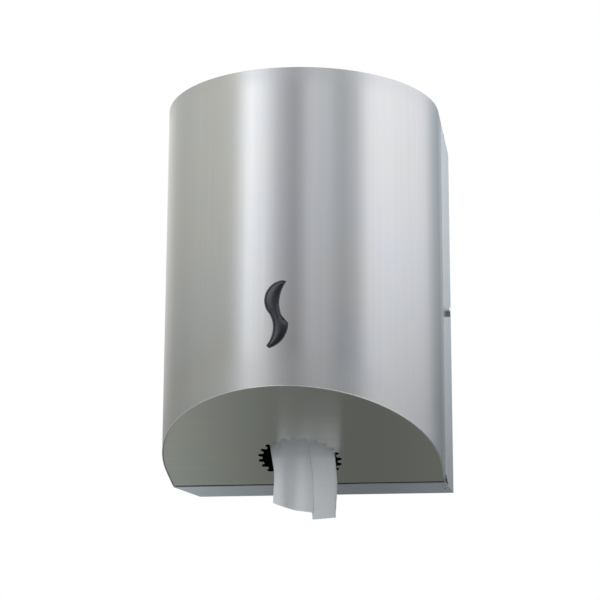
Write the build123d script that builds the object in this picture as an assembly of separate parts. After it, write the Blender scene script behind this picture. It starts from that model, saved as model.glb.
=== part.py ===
from build123d import *
import math
import os

# Wall-hung dispenser for a centrefeed paper roll, in millimetres.
# X runs to the viewer's right, Y into the wall and Z up.
# The origin is the middle of the back plate, on the wall.

# The case
width = 250
height = 340
frame_depth = 98.5
seam_gap = 1.5
cover_side = 25
floor_slope = 24
floor_setback = 2.5
sheet = 1
weld_gap = 0.1
overrun = 30

# Wall screws in the back plate
screw_spread_x = 170
screw_spread_z = 220
screw_hole_radius = 3

# Three-cornered relief at the lower front corners of the frame's side walls
relief_depth = 30
relief_height = 7

# Toothed outlet in the sloping floor
outlet_setback = 41
outlet_root_radius = 37
outlet_tip_radius = 33.3
tooth_count = 24
gullet_mouth_share = 0.74
gullet_end_share = 0.56
gullet_round = 1.6

# Sight window, a standing wave in the skin's front
window_height = 56.6
window_width = 21
window_middle = 126.1
window_rim = 1.6
window_clearance = 0.3
lens_proud = 0.4
lens_thickness = 2
lens_flange = 5
gasket_thickness = 0.8

# Paper roll and its shelf
roll_side_room = 30
roll_height = 205
core_radius = 32
shelf_room = 1.45
roll_overhang = 13
shelf_tab = 12
shelf_tab_setback = 3

# Funnel between the shelf and the outlet
funnel_wall = 1.8
funnel_top_radius = 44
funnel_low_radius = 39
funnel_flange = 8

# Gathered paper that hangs through the outlet
tail_drop = 34.7
tail_step = 4.8
tail_left_rise = 14.3
tail_half_width = 27.5
tail_right_width = 31.2
tail_thickness = 1.2
tail_fold = 5
tail_reach = 25

# Hinges at the left seam
hinge_length = 60
hinge_low = 110
hinge_high = 280
knuckle_radius = 3
knuckle_gap = 0.3
cover_knuckle = 24
pin_radius = 1.5
bore_clearance = 0.05
pin_head_radius = 2.5
pin_head = 1
leaf_reach = 19
leaf_thickness = 1.2
hinge_clearance = 0.4

# Lock in the right wall
lock_height = 166.5
lock_setback = 43
lock_head_radius = 5
lock_head = 3.6
lock_head_bevel = 0.8
barrel_radius = 4.2
barrel_length = 14
barrel_clearance = 0.1
nut_width = 12
nut_thickness = 3
plug_radius = 3.2
plug_head_radius = 3.9
plug_head = 1.6
key_slot_length = 5
key_slot_width = 1.1
key_slot_depth = 3
shank_size = 3.8
cam_thickness = 2
cam_length = 21
cam_width = 8
cam_screw_radius = 1.2
cam_screw_length = 6
cam_screw_head_radius = 3
cam_screw_head = 1.6

# Keeper on the cover, which the cam holds
keeper_thickness = 1.5
keeper_joggle = 5.5
keeper_pad = 20
keeper_lip = 17
keeper_rise = 11.2
keeper_cam_gap = 0.6
keeper_nut_gap = 0.9

# Places that follow from the sizes
half = width / 2
bottom = -height / 2
top = height / 2
frame_front = -frame_depth
cover_rear = frame_front - seam_gap
round_centre = cover_rear - cover_side
slope = math.radians(floor_slope)
skin_inside = half - sheet
outlet_y = cover_rear - outlet_setback
floor_plane = Plane(
    origin=(0, cover_rear, bottom), x_dir=(1, 0, 0), z_dir=(0, math.sin(slope), math.cos(slope))
)
outlet_plane = Plane(
    origin=(0, outlet_y, bottom + outlet_setback * math.tan(slope)),
    x_dir=floor_plane.x_dir,
    z_dir=floor_plane.z_dir,
)
roll_radius = half - roll_side_room
tongue_radius = roll_radius - roll_overhang
shelf_low = bottom + (outlet_setback + roll_radius) * math.tan(slope) + shelf_room
roll_low = shelf_low + sheet
hinge_x = -(half - sheet / 2)
hinge_y = frame_front - seam_gap / 2
lock_y = frame_front + lock_setback
lock_z = bottom + lock_height


def block(x, y, z):
    """A box between the low and high limits given on each axis."""
    sizes = [high - low for low, high in (x, y, z)]
    middle = [(high + low) / 2 for low, high in (x, y, z)]
    return Pos(*middle) * Box(*sizes)


def disc(radius, low, high):
    """An upright cylinder between two heights."""
    return Pos(0, 0, low) * extrude(Circle(radius), amount=high - low)


def rod(radius, low, high):
    """A cylinder along +X through the lock's axis, between two places on X."""
    face = Plane(origin=(low, lock_y, lock_z), x_dir=(0, 1, 0), z_dir=(1, 0, 0)) * Circle(radius)
    return extrude(face, amount=high - low)


def cover_plan(inset, rear):
    """Plan of the cover: straight sides back to `rear`, a half-round front, drawn in by `inset`."""
    radius = half - inset
    sides = Polyline((radius, round_centre), (radius, rear), (-radius, rear), (-radius, round_centre))
    front = ThreePointArc(
        (-radius, round_centre), (0, round_centre - radius), (radius, round_centre)
    )
    return make_face([sides, front])


def cover_prism(inset, rear, low, high):
    """The cover's plan, raised between two heights."""
    return Pos(0, 0, low) * extrude(cover_plan(inset, rear), amount=high - low)


def above_floor(shape, lift):
    """What is left of a shape above the sloping floor's underside, raised by `lift`."""
    return split(shape, bisect_by=floor_plane.offset(lift), keep=Keep.TOP)


def below_floor(shape, lift):
    """What is left of a shape below the sloping floor's underside, raised by `lift`."""
    return split(shape, bisect_by=floor_plane.offset(lift), keep=Keep.BOTTOM)


# Frame


def back_frame():
    """Folded tray on the wall, open to the front."""
    tray = block((-half, half), (frame_front, 0), (bottom, top))
    tray -= block(
        (-skin_inside, skin_inside),
        (frame_front - overrun, -sheet),
        (bottom + sheet, top - sheet),
    )
    holes = extrude(Circle(screw_hole_radius), amount=overrun, both=True)
    for x in (-screw_spread_x / 2, screw_spread_x / 2):
        for z in (-screw_spread_z / 2, screw_spread_z / 2):
            tray -= Pos(x, 0, z) * Rot(90, 0, 0) * holes
    for middle in (hinge_low, hinge_high):
        tray -= hinge_notch(middle)
    tray -= corner_reliefs()
    return tray - rod(barrel_radius + barrel_clearance, skin_inside - sheet, half + sheet)


def corner_reliefs():
    """Sloping cuts through both side walls, just above the bottom wall's front corners."""
    low = bottom + sheet
    outline = Polyline(
        (frame_front, low), (frame_front + relief_depth, low), (frame_front, low + relief_height),
        close=True,
    )
    return extrude(Plane.YZ * make_face(outline), amount=half + sheet, both=True)


def hinge_notch(middle):
    """Room for a hinge barrel in the left edges of the frame and the cover."""
    reach = knuckle_radius + hinge_clearance
    rise = hinge_length / 2 + pin_head + hinge_clearance
    z = bottom + middle
    x = (-half - sheet, hinge_x + reach)
    return block(x, (hinge_y - reach, hinge_y + reach), (z - rise, z + rise))


def hinge_leaf(direction, knuckles):
    """A leaf flat on the inside of the left wall, rolled into its knuckles.

    `direction` is +1 for the frame's side of the seam and -1 for the cover's.
    """
    face = -skin_inside - hinge_x
    near = knuckle_radius + hinge_clearance
    far = near + leaf_reach
    half_length = hinge_length / 2
    y = sorted((direction * near, direction * far))
    leaf = block((face, face + leaf_thickness), y, (-half_length, half_length))
    for low, high in knuckles:
        tongue = sorted((0, direction * (near + leaf_thickness)))
        leaf += block((face, face + leaf_thickness), tongue, (low, high))
        leaf += disc(knuckle_radius, low, high)
    return leaf - disc(pin_radius + bore_clearance, -hinge_length, hinge_length)


def frame_leaf():
    """The frame's hinge leaf, with a knuckle at each end."""
    inner = cover_knuckle / 2 + knuckle_gap
    outer = hinge_length / 2
    return hinge_leaf(1, [(-outer, -inner), (inner, outer)])


def cover_leaf():
    """The cover's hinge leaf, with one knuckle in the middle."""
    return hinge_leaf(-1, [(-cover_knuckle / 2, cover_knuckle / 2)])


def hinge_pin():
    """Headed pin that stands on the top knuckle."""
    top_end = hinge_length / 2
    return disc(pin_radius, -top_end, top_end) + disc(pin_head_radius, top_end, top_end + pin_head)


# Lock


def lock_housing():
    """Round head outside the wall, with a barrel that reaches inside."""
    head = rod(lock_head_radius, half, half + lock_head)
    head = chamfer(head.edges().group_by(Axis.X)[-1], lock_head_bevel)
    body = head + rod(barrel_radius, half - barrel_length, half)
    body -= rod(plug_radius + bore_clearance, half - barrel_length, half + lock_head)
    recess = half + lock_head - plug_head
    return body - rod(plug_head_radius + bore_clearance, recess, half + lock_head)


def lock_nut():
    """Hexagon nut on the barrel, against the inside of the wall."""
    start = Plane(
        origin=(skin_inside - nut_thickness, lock_y, lock_z), x_dir=(0, 1, 0), z_dir=(1, 0, 0)
    )
    hexagon = RegularPolygon(nut_width / 2, 6, major_radius=False)
    nut = extrude(start * hexagon, amount=nut_thickness)
    return nut - rod(barrel_radius + bore_clearance, skin_inside - nut_thickness, skin_inside)


cam_face = half - barrel_length - bore_clearance


def lock_plug():
    """Turning plug with a key slot outside and a square shank for the cam inside."""
    face = half + lock_head
    plug = rod(plug_head_radius, face - plug_head + bore_clearance, face)
    plug += rod(plug_radius, cam_face, face - plug_head + bore_clearance)
    shank = (-shank_size / 2, shank_size / 2)
    plug += Pos(0, lock_y, lock_z) * block((cam_face - cam_thickness, cam_face), shank, shank)
    slot = SlotOverall(key_slot_length, key_slot_width)
    mouth = Plane(origin=(face, lock_y, lock_z), x_dir=(0, 0, 1), z_dir=(-1, 0, 0))
    plug -= extrude(mouth * slot, amount=key_slot_depth)
    end = cam_face - cam_thickness
    return plug - rod(cam_screw_radius + bore_clearance, end, end + cam_screw_length + bore_clearance)


def lock_cam():
    """Flat cam. At rest it points to the front, clear of the keeper."""
    start = Plane(
        origin=(cam_face - cam_thickness, lock_y, lock_z), x_dir=(0, -1, 0), z_dir=(1, 0, 0)
    )
    length = cam_length + cam_width / 2
    outline = Pos(length / 2 - cam_width / 2, 0) * SlotOverall(length, cam_width)
    hole = Rectangle(shank_size + 2 * bore_clearance, shank_size + 2 * bore_clearance)
    return extrude(start * (outline - hole), amount=cam_thickness - bore_clearance)


def lock_cam_screw():
    """Screw that holds the cam on the plug."""
    end = cam_face - cam_thickness
    return rod(cam_screw_head_radius, end - cam_screw_head, end) + rod(
        cam_screw_radius, end, end + cam_screw_length
    )


# Cover


def skin():
    """The curved sheet: a D in plan, cut off below by the sloping floor."""
    outer = cover_prism(0, cover_rear, bottom, top)
    wall = outer - cover_prism(sheet, cover_rear + overrun, bottom, top)
    wall = above_floor(wall, 0)
    for middle in (hinge_low, hinge_high):
        wall -= hinge_notch(middle)
    return wall - window_prism(0)


def top_plate():
    """Flat top, set inside the skin."""
    return cover_prism(sheet + weld_gap, cover_rear, top - sheet, top)


def floor_plate():
    """Sloping floor inside the skin, with the toothed outlet. It ends short of the skin's rear edge."""
    plate = cover_prism(sheet + weld_gap, cover_rear - floor_setback, bottom, top)
    plate = below_floor(above_floor(plate, 0), sheet)
    return plate - extrude(outlet_plane * outlet(), amount=overrun, both=True)


def outlet():
    """Round hole with gullets between the tearing teeth, drawn flat."""
    pitch = 2 * math.pi * outlet_tip_radius / tooth_count
    mouth = gullet_mouth_share * pitch / 2
    end = gullet_end_share * pitch / 2
    base = outlet_tip_radius * math.cos(math.pi / tooth_count)
    root = outlet_root_radius
    outline = Polyline((base, -mouth), (root, -end), (root, end), (base, mouth), close=True)
    gullet = make_face(outline)
    gullet = fillet(gullet.vertices().sort_by(Axis.X)[-2:], gullet_round)
    return Circle(outlet_tip_radius) + PolarLocations(0, tooth_count) * gullet


# Shares of the window's width and height, from its middle. Each edge of the wave is an arc
# through three points, and short lines join the arcs at the tips and at the waist.
wave_arc_shares = (
    ((0.21, 0.5), (-0.53, 0.17), (-0.33, 0.01)),
    ((-0.33, 0.01), (-0.18, -0.16), (-0.44, -0.46)),
    ((-0.32, -0.5), (0.33, -0.3), (0.42, -0.14)),
    ((0.14, -0.01), (0.06, 0.14), (0.34, 0.48)),
)


def window_outline(inset):
    """The wave, drawn in by `inset`, or out where that is negative."""
    arcs = [
        [(x * window_width, z * window_height) for x, z in points] for points in wave_arc_shares
    ]
    edges = [ThreePointArc(*points) for points in arcs]
    for this, following in zip(arcs, arcs[1:] + arcs[:1]):
        if this[-1] != following[0]:
            edges.append(Line(this[-1], following[0]))
    face = make_face(edges)
    return offset(face, -inset) if inset else face


def window_prism(inset):
    """The wave as a prism that runs through the front of the skin."""
    start = Plane(
        origin=(0, round_centre, bottom + window_middle), x_dir=(1, 0, 0), z_dir=(0, -1, 0)
    )
    return extrude(start * window_outline(inset), amount=half + overrun)


def front_shell(inner, outer):
    """The part of a round front between two distances inside the skin's outer face."""
    low = bottom + window_middle - window_height
    high = bottom + window_middle + window_height
    shell = disc(half - inner, low, high) - disc(half - outer, low, high)
    return Pos(0, round_centre, 0) * shell


def window_lens():
    """Smoked lens: a curved flange behind the skin and a raised wave that fills the opening."""
    seat = sheet + gasket_thickness + weld_gap
    flange = window_prism(-lens_flange) & front_shell(seat, seat + lens_thickness)
    wave = window_prism(window_clearance + window_rim) & front_shell(-lens_proud, seat)
    return flange + wave


def window_gasket():
    """Soft gasket between the lens's flange and the skin."""
    seat = sheet + gasket_thickness
    ring = window_prism(-lens_flange) - window_prism(0)
    return ring & front_shell(sheet + weld_gap, seat)


def window_bezel():
    """Rim round the opening's edge, between the skin and the lens."""
    ring = window_prism(window_clearance) - window_prism(window_rim)
    return ring & front_shell(-lens_proud, sheet + gasket_thickness)


def roll_shelf():
    """Level shelf welded across the cover, with a round tongue under the roll's overhang."""
    gap = sheet + weld_gap
    shelf = cover_prism(gap, cover_rear - shelf_tab_setback, shelf_low, roll_low)
    shelf = above_floor(shelf, sheet + weld_gap)
    shelf += Pos(0, outlet_y, 0) * disc(tongue_radius, shelf_low, roll_low)
    shelf -= Pos(0, outlet_y, 0) * disc(funnel_top_radius, shelf_low, roll_low)
    front = cover_rear - shelf_tab_setback
    back = round_centre + shelf_tab_setback
    for side in (-1, 1):
        x = sorted((side * (skin_inside - sheet), side * skin_inside))
        shelf += block(x, (back, front), (roll_low - shelf_tab, roll_low))
    return shelf


def paper_funnel():
    """Black funnel that stands on the floor and carries a flange under the shelf."""
    outer_top = funnel_top_radius + funnel_wall
    outer_low = funnel_low_radius + funnel_wall
    flange = funnel_top_radius + funnel_flange
    profile = Polyline(
        (funnel_low_radius, bottom),
        (outer_low, bottom),
        (outer_top, shelf_low - funnel_wall),
        (flange, shelf_low - funnel_wall),
        (flange, shelf_low),
        (funnel_top_radius, shelf_low),
        close=True,
    )
    funnel = revolve(Plane.XZ * make_face(profile), Axis.Z)
    return above_floor(Pos(0, outlet_y, 0) * funnel, sheet)


def paper_roll():
    """Centrefeed roll that stands on the shelf, with its core taken out."""
    roll = disc(roll_radius, roll_low, roll_low + roll_height)
    return Pos(0, outlet_y, 0) * (roll - disc(core_radius, roll_low, roll_low + roll_height))


# Shares of the tail's half width and of its fold depth, along the gathered sheet.
fold_shares = (
    (-1, 0.2), (-0.72, -0.6), (-0.36, 0.3), (-0.1, -0.9), (0.16, 0.1), (0.29, 1), (0.35, -0.4), (1, 0.1),
)


def paper_tail():
    """Gathered sheet: folded in plan, cut below along its torn end."""
    line = Polyline(*[(tail_right_width * x, tail_fold * y / 2) for x, y in fold_shares])
    sheet_plan = offset(line, tail_thickness / 2, kind=Kind.INTERSECTION)
    low = bottom - tail_drop
    high = roll_low + tail_reach
    folded = Pos(0, outlet_y, low) * extrude(make_face(sheet_plan.edges()), amount=high - low)
    step_x = tail_right_width * fold_shares[-2][0]
    silhouette = Polyline(
        (-tail_half_width, high),
        (-tail_half_width + tail_thickness, low + tail_left_rise),
        (step_x, low + tail_step),
        (step_x, low),
        (tail_right_width, low + tail_thickness),
        (tail_right_width, high),
        close=True,
    )
    front = Plane(origin=(0, outlet_y, 0), x_dir=(1, 0, 0), z_dir=(0, -1, 0))
    return folded & extrude(front * make_face(silhouette), amount=core_radius, both=True)


def lock_keeper():
    """Joggled strip on the cover's right wall, with a lip behind the turned cam."""
    wall = skin_inside
    arm = wall - keeper_joggle
    lip_y = lock_y + cam_width / 2 + keeper_cam_gap
    pad_start = cover_rear - keeper_joggle
    line = Polyline(
        (wall, pad_start - keeper_pad),
        (wall, pad_start),
        (arm, cover_rear),
        (arm, lip_y + keeper_thickness),
        (arm - keeper_lip, lip_y + keeper_thickness),
    )
    strip = offset(line, keeper_thickness, side=Side.LEFT, kind=Kind.INTERSECTION)
    low = lock_z + nut_width / math.sqrt(3) + keeper_nut_gap
    return Pos(0, 0, low) * extrude(make_face(strip.edges()), amount=keeper_rise)


def at_hinge(shape, middle):
    """Moves a hinge piece to the left seam, at a height above the bottom edge."""
    return Pos(hinge_x, hinge_y, bottom + middle) * shape


parts = {
    "back_frame": back_frame(),
    "lock_housing": lock_housing(),
    "lock_nut": lock_nut(),
    "lock_plug": lock_plug(),
    "lock_cam": lock_cam(),
    "lock_cam_screw": lock_cam_screw(),
    "cover_skin": skin(),
    "cover_top_plate": top_plate(),
    "cover_floor_plate": floor_plate(),
    "window_lens": window_lens(),
    "window_gasket": window_gasket(),
    "window_bezel": window_bezel(),
    "roll_shelf": roll_shelf(),
    "paper_funnel": paper_funnel(),
    "paper_roll": paper_roll(),
    "paper_tail": paper_tail(),
    "lock_keeper": lock_keeper(),
}
for name, middle in (("lower", hinge_low), ("upper", hinge_high)):
    parts[f"{name}_frame_leaf"] = at_hinge(frame_leaf(), middle)
    parts[f"{name}_cover_leaf"] = at_hinge(cover_leaf(), middle)
    parts[f"{name}_hinge_pin"] = at_hinge(hinge_pin(), middle)

os.makedirs("parts", exist_ok=True)
for node, shape in parts.items():
    export_step(shape, f"parts/{node}.step")
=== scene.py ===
# %% [markdown]
# # A centrefeed paper dispenser in satin steel
# The object hangs on a wall: a folded steel tray, and a rounded steel cover that swings out from it
# with a paper roll inside. Its shapes come from a imported model that stays fixed.
# This lesson gives those shapes their finishes, and makes what a rigid solid can't show:
# the gathered paper, the wound roll and the crowned sight window.

# %% Load the imported model
import math

import bmesh
import bpy
from mathutils import Euler, Matrix, Vector, geometry, noise


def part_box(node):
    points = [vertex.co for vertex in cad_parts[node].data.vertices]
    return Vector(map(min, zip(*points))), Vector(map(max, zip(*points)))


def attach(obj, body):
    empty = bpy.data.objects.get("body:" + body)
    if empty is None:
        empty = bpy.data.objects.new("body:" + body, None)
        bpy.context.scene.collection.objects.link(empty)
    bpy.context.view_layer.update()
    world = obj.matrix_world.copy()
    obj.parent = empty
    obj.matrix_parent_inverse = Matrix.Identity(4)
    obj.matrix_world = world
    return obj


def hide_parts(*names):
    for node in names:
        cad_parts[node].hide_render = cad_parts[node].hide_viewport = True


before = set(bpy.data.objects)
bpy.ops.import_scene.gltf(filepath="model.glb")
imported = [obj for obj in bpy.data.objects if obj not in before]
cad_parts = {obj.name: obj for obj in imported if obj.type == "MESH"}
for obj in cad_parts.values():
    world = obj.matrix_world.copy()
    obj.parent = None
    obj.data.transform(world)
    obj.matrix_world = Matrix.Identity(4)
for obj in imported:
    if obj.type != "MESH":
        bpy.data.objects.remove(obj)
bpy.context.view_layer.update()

scene = bpy.context.scene
scene.view_settings.view_transform = "Standard"

# %% [markdown]
# ## The camera
# The picture was taken from below and a little to the right, with a long lens.
# The place below was found by fitting the case's corners. The frame is shifted a little up and left,
# which is what cropping a wider picture does.


# %% Camera
def new_object(name, data):
    """An object in the scene that shows some data."""
    made = bpy.data.objects.new(name, data)
    scene.collection.objects.link(made)
    return made


camera_place = Vector((0.2182, -1.3710, -0.2946))
camera_azimuth = 7.63
camera_rise = 10.54
camera_roll = -0.21
camera_lens = 85.36
camera_shift = 0.1

camera_data = bpy.data.cameras.new("camera")
camera = new_object("camera", camera_data)
camera_data.lens = camera_lens
camera_data.shift_x = -camera_shift
camera_data.shift_y = camera_shift
turn = Euler((math.radians(90 + camera_rise), 0, math.radians(camera_azimuth))).to_matrix()
turn = turn @ Matrix.Rotation(math.radians(camera_roll), 3, "Z")
camera.matrix_world = Matrix.Translation(camera_place) @ turn.to_4x4()
scene.camera = camera
print("camera at", tuple(round(x, 3) for x in camera_place))

# %% [markdown]
# ## Helpers for shader nodes
# Every finish below is a small graph of nodes. Writing one in code takes three steps: make the node, set
# its options, fill its inputs. One helper does all three. The others are short names for what comes back
# often.


# %% Node helpers
def add(tree, kind, inputs=None, **options):
    """A new node with its options set, and each input given a value or a link from another node."""
    new = tree.nodes.new(kind)
    for name, value in options.items():
        setattr(new, name, value)
    for name, value in (inputs or {}).items():
        if isinstance(value, bpy.types.NodeSocket):
            tree.links.new(value, new.inputs[name])
        else:
            new.inputs[name].default_value = value
    return new


def grey(value):
    """A neutral colour."""
    return (value, value, value, 1)


def ramp(tree, factor, stops, interpolation="EASE"):
    """A colour ramp through (place, colour) stops."""
    new = add(tree, "ShaderNodeValToRGB", {"Fac": factor})
    new.color_ramp.interpolation = interpolation
    points = new.color_ramp.elements
    while len(points) < len(stops):
        points.new(1)
    for point, (place, colour) in zip(points, stops):
        point.position = place
        point.color = colour
    return new.outputs["Color"]


def remap(tree, value, low, high, to_low=0, to_high=1):
    """A value moved from one range to another, and held within it."""
    inputs = {
        "Value": value, "From Min": low, "From Max": high, "To Min": to_low, "To Max": to_high,
    }
    return add(tree, "ShaderNodeMapRange", inputs, clamp=True).outputs["Result"]


def blend_colours(tree, factor, first, second, way="MIX"):
    """A mix of two colours."""
    new = add(tree, "ShaderNodeMix", data_type="RGBA", blend_type=way)
    for socket, value in ((new.inputs[0], factor), (new.inputs[6], first), (new.inputs[7], second)):
        if isinstance(value, bpy.types.NodeSocket):
            tree.links.new(value, socket)
        else:
            socket.default_value = value
    return new.outputs[2]


def multiply_colours(tree, first, second):
    """Two colours multiplied."""
    return blend_colours(tree, 1.0, first, second, "MULTIPLY")


def calculate(tree, operation, first, second=0.0):
    """The result of a sum on one or two values."""
    return add(tree, "ShaderNodeMath", {0: first, 1: second}, operation=operation).outputs[0]


def new_material(name):
    """An empty material and its node tree."""
    made = bpy.data.materials.new(name)
    made.use_nodes = True
    made.node_tree.nodes.clear()
    return made, made.node_tree


def principled(material, inputs):
    """The material's shader, joined to its surface."""
    tree = material.node_tree
    shader = add(tree, "ShaderNodeBsdfPrincipled", inputs)
    add(tree, "ShaderNodeOutputMaterial", {"Surface": shader.outputs[0]})
    print("finish:", material.name)
    return shader


def own_place(tree):
    """The place on the piece itself, for patterns that move with it."""
    return add(tree, "ShaderNodeTexCoord").outputs["Object"]


def noise_field(tree, place, scale, detail, distortion=0.0):
    """Noise of about 0 to 1 over a place."""
    inputs = {"Vector": place, "Scale": scale, "Detail": detail, "Distortion": distortion}
    return add(tree, "ShaderNodeTexNoise", inputs).outputs["Fac"]


def split(tree, coordinate):
    """The X, Y and Z of a texture coordinate."""
    place = add(tree, "ShaderNodeTexCoord").outputs[coordinate]
    return add(tree, "ShaderNodeSeparateXYZ", {"Vector": place}).outputs


# %% [markdown]
# ## The studio
# Satin steel has hardly any colour of its own: what it shows is the room. The case was lit by tall soft
# boxes with grey cards between them, and they are the soft upright bands on the sheet.
# Real boxes and cards would do, but a world that changes with the compass direction is simpler to tune,
# so the world holds them.

# %% World
# Compass directions seen in the metal, in degrees from straight in front, positive to the right,
# and how bright the room is there.
studio_bands = (
    (-180, 1.2), (-160, 0.8), (-148, 0.73), (-135, 0.65), (-123, 0.54), (-105, 0.53), (-86, 0.58),
    (-56, 0.6), (-49, 0.69), (-43, 0.95), (-36, 1.3), (-25, 1.04), (-18, 0.83), (-12, 0.61),
    (-5, 0.48), (2, 0.37), (8, 0.51), (14, 0.68), (27, 0.64), (41, 0.48), (52, 0.57), (58, 0.79),
    (65, 1.03), (77, 1.04), (115, 0.96), (130, 0.88), (141, 0.66), (151, 0.51), (163, 0.4),
    (171, 0.36), (175.5, 0.92), (180, 1.3),
)
# The boxes and cards aren't quite neutral: red, green and blue by compass direction.
studio_tints = (
    (-180, (0.93, 1, 1.05)), (-155, (1, 1, 0.96)), (-60, (1, 1, 0.96)),
    (-38, (1, 1, 1.04)), (0, (1, 0.99, 1.06)), (45, (0.98, 1, 1.06)),
    (60, (1, 1, 1.07)), (135, (1, 1, 1.07)), (150, (0.91, 0.98, 1.05)),
    (180, (0.93, 1, 1.06)),
)
world = bpy.data.worlds.new("studio")
scene.world = world
world.use_nodes = True
world.cycles.sampling_method = "NONE"
room = world.node_tree
room.nodes.clear()
direction = split(room, "Generated")
toward_viewer = calculate(room, "MULTIPLY", direction["Y"], -1.0)
compass = calculate(room, "ARCTAN2", direction["X"], toward_viewer)
share = remap(room, compass, -math.pi, math.pi)
bands = ramp(room, share, [((a + 180) / 360, grey(v)) for a, v in studio_bands])
tints = ramp(room, share, [((a + 180) / 360, (*colour, 1)) for a, colour in studio_tints])
tinted = multiply_colours(room, bands, tints)
print("studio bands:", len(studio_bands), "tints:", len(studio_tints))

# %% [markdown]
# The room is brighter higher up and darker near the ground, and the ground under the case is a dull
# olive grey, lighter on the left. That is why the sloping underside looks so much darker than the front,
# and why the front itself gets darker towards its lower edge.

# %% World, from top to bottom
# How bright the room is by the upward part of the direction.
height_gains = (
    (0, 0.42), (0.08, 0.48), (0.12, 0.58), (0.175, 0.78), (0.2, 0.87), (0.247, 1.04), (0.285, 1.12),
    (0.345, 1.2), (0.5, 1.32),
)
highest = height_gains[-1][0]
height_share = remap(room, direction["Z"], 0, highest)
gain = ramp(room, height_share, [(z / highest, grey(v)) for z, v in height_gains], "LINEAR")
lifted = multiply_colours(room, tinted, gain)
# The ground by the same part of the direction, and how much lighter it is to the left and right.
ground_colours = (
    (-1, (0.145, 0.155, 0.137)), (-0.87, (0.15, 0.16, 0.143)), (-0.24, (0.125, 0.14, 0.155)),
    (0, (0.25, 0.27, 0.28)),
)
ground_gains = ((-0.3, 2.9), (-0.26, 2.45), (-0.22, 1.62), (-0.17, 1), (-0.12, 0.95), (-0.07, 1.25))
downward = remap(room, direction["Z"], -1, 0)
ground = ramp(room, downward, [(z + 1, (*colour, 1)) for z, colour in ground_colours], "LINEAR")
left, right = ground_gains[0][0], ground_gains[-1][0]
sideways = remap(room, direction["X"], left, right)
ground_gain = ramp(room, sideways, [((x - left) / (right - left), grey(v)) for x, v in ground_gains])
ground = multiply_colours(room, ground, ground_gain)
# The ground gives way to the walls between these upward parts of the direction.
horizon_low, horizon_high = -0.06, 0.04
above_ground = remap(room, direction["Z"], horizon_low, horizon_high)
seen_in_metal = blend_colours(room, above_ground, ground, lifted)
print("height stops:", len(height_gains))

# %% [markdown]
# ## Which rays see the studio
# Glossy and transmitted rays see the studio. The camera sees plain white behind the object, and a matt
# surface gets one plain level of light, so that a colour renders about as it is written.

# %% World by kind of ray
rays = add(room, "ShaderNodeLightPath")
shiny = calculate(room, "MAXIMUM", rays.outputs["Is Glossy Ray"], rays.outputs["Is Transmission Ray"])
plain_light = (0.47, 0.48, 0.50, 1)
indirect = blend_colours(room, shiny, plain_light, seen_in_metal)
seen = blend_colours(room, rays.outputs["Is Camera Ray"], indirect, grey(1))
backdrop = add(room, "ShaderNodeBackground", {"Color": seen, "Strength": 1.0})
add(room, "ShaderNodeOutputWorld", {"Surface": backdrop.outputs[0]})
print("world ready")

# %% [markdown]
# ## Floor and lamps
# The floor lies well below the case, pale and plain. It fades to white with distance, so that no horizon
# shows, and it keeps the soft shadow. One large lamp stands high in front, so the case shades the paper
# below it, as it does on a wall. A weaker one on the left reaches under the case and shapes the paper's
# folds. The steel already has its boxes, so neither lamp shows in it.

# %% Floor and lamps
floor_height = -1.25
floor_half = 6
fade_start, fade_end = 1.4, 3.5
floor_mesh = bpy.data.meshes.new("floor")
signs = ((-1, -1), (1, -1), (1, 1), (-1, 1))
corners = [(x * floor_half, y * floor_half, floor_height) for x, y in signs]
floor_mesh.from_pydata(corners, [], [(0, 1, 2, 3)])
floor = new_object("floor", floor_mesh)
floor.visible_glossy = False

floor_paint, paint = new_material("pale floor")
away = add(paint, "ShaderNodeVectorMath", {0: own_place(paint)}, operation="LENGTH").outputs["Value"]
matt = add(paint, "ShaderNodeBsdfDiffuse", {"Color": grey(0.84)})
white = add(paint, "ShaderNodeEmission", {"Color": grey(1), "Strength": 1.0})
floor_rays = add(paint, "ShaderNodeLightPath")
faded = remap(paint, away, fade_start, fade_end)
looked_at = calculate(paint, "MULTIPLY", floor_rays.outputs["Is Camera Ray"], faded)
fade = add(paint, "ShaderNodeMixShader", {0: looked_at, 1: matt.outputs[0], 2: white.outputs[0]})
add(paint, "ShaderNodeOutputMaterial", {"Surface": fade.outputs[0]})
floor_mesh.materials.append(floor_paint)

lamps = (
    ("key lamp", (-0.9, -1.2, 1.5), 1.1, 34, (1.0, 1.0, 1.0)),
    ("side lamp", (-1.3, -1.1, 0.40), 0.5, 10, (0.98, 0.99, 1.0)),
)
lit_spot = Vector((0, -0.1, -0.05))
for name, place, size, power, colour in lamps:
    light = bpy.data.lights.new(name, "AREA")
    light.size = size
    light.energy = power
    light.color = colour
    lamp = new_object(name, light)
    lamp.location = place
    lamp.rotation_euler = (lit_spot - Vector(place)).to_track_quat("-Z", "Y").to_euler()
    lamp.visible_glossy = False
    print(name, "at", place)

# %% [markdown]
# ## Brushed grain, shared by every steel
# The sheet is brushed with a belt, which leaves thin parallel lines: upright on the walls, and from side to
# side on the level faces. A sheet is never quite even either: broad clouds show where the belt pressed
# more. Stretched noise gives both. It is a node group, because each steel piece uses it.


# %% Group helpers and grain group
def new_group(name, inputs):
    """A node group with named inputs, and the node that gives their values."""
    group = bpy.data.node_groups.new(name, "ShaderNodeTree")
    for socket, value in inputs.items():
        kind = "NodeSocketVector" if isinstance(value, tuple) else "NodeSocketFloat"
        made = group.interface.new_socket(socket, in_out="INPUT", socket_type=kind)
        made.default_value = value
    return group, group.nodes.new("NodeGroupInput")


def give(group, results):
    """Ends a group with outputs for its results, each a value or a vector."""
    end = group.nodes.new("NodeGroupOutput")
    for socket, result in results.items():
        kind = "NodeSocketVector" if result.type == "VECTOR" else "NodeSocketFloat"
        group.interface.new_socket(socket, in_out="OUTPUT", socket_type=kind)
        group.links.new(result, end.inputs[socket])
    print("group:", group.name)


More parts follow.
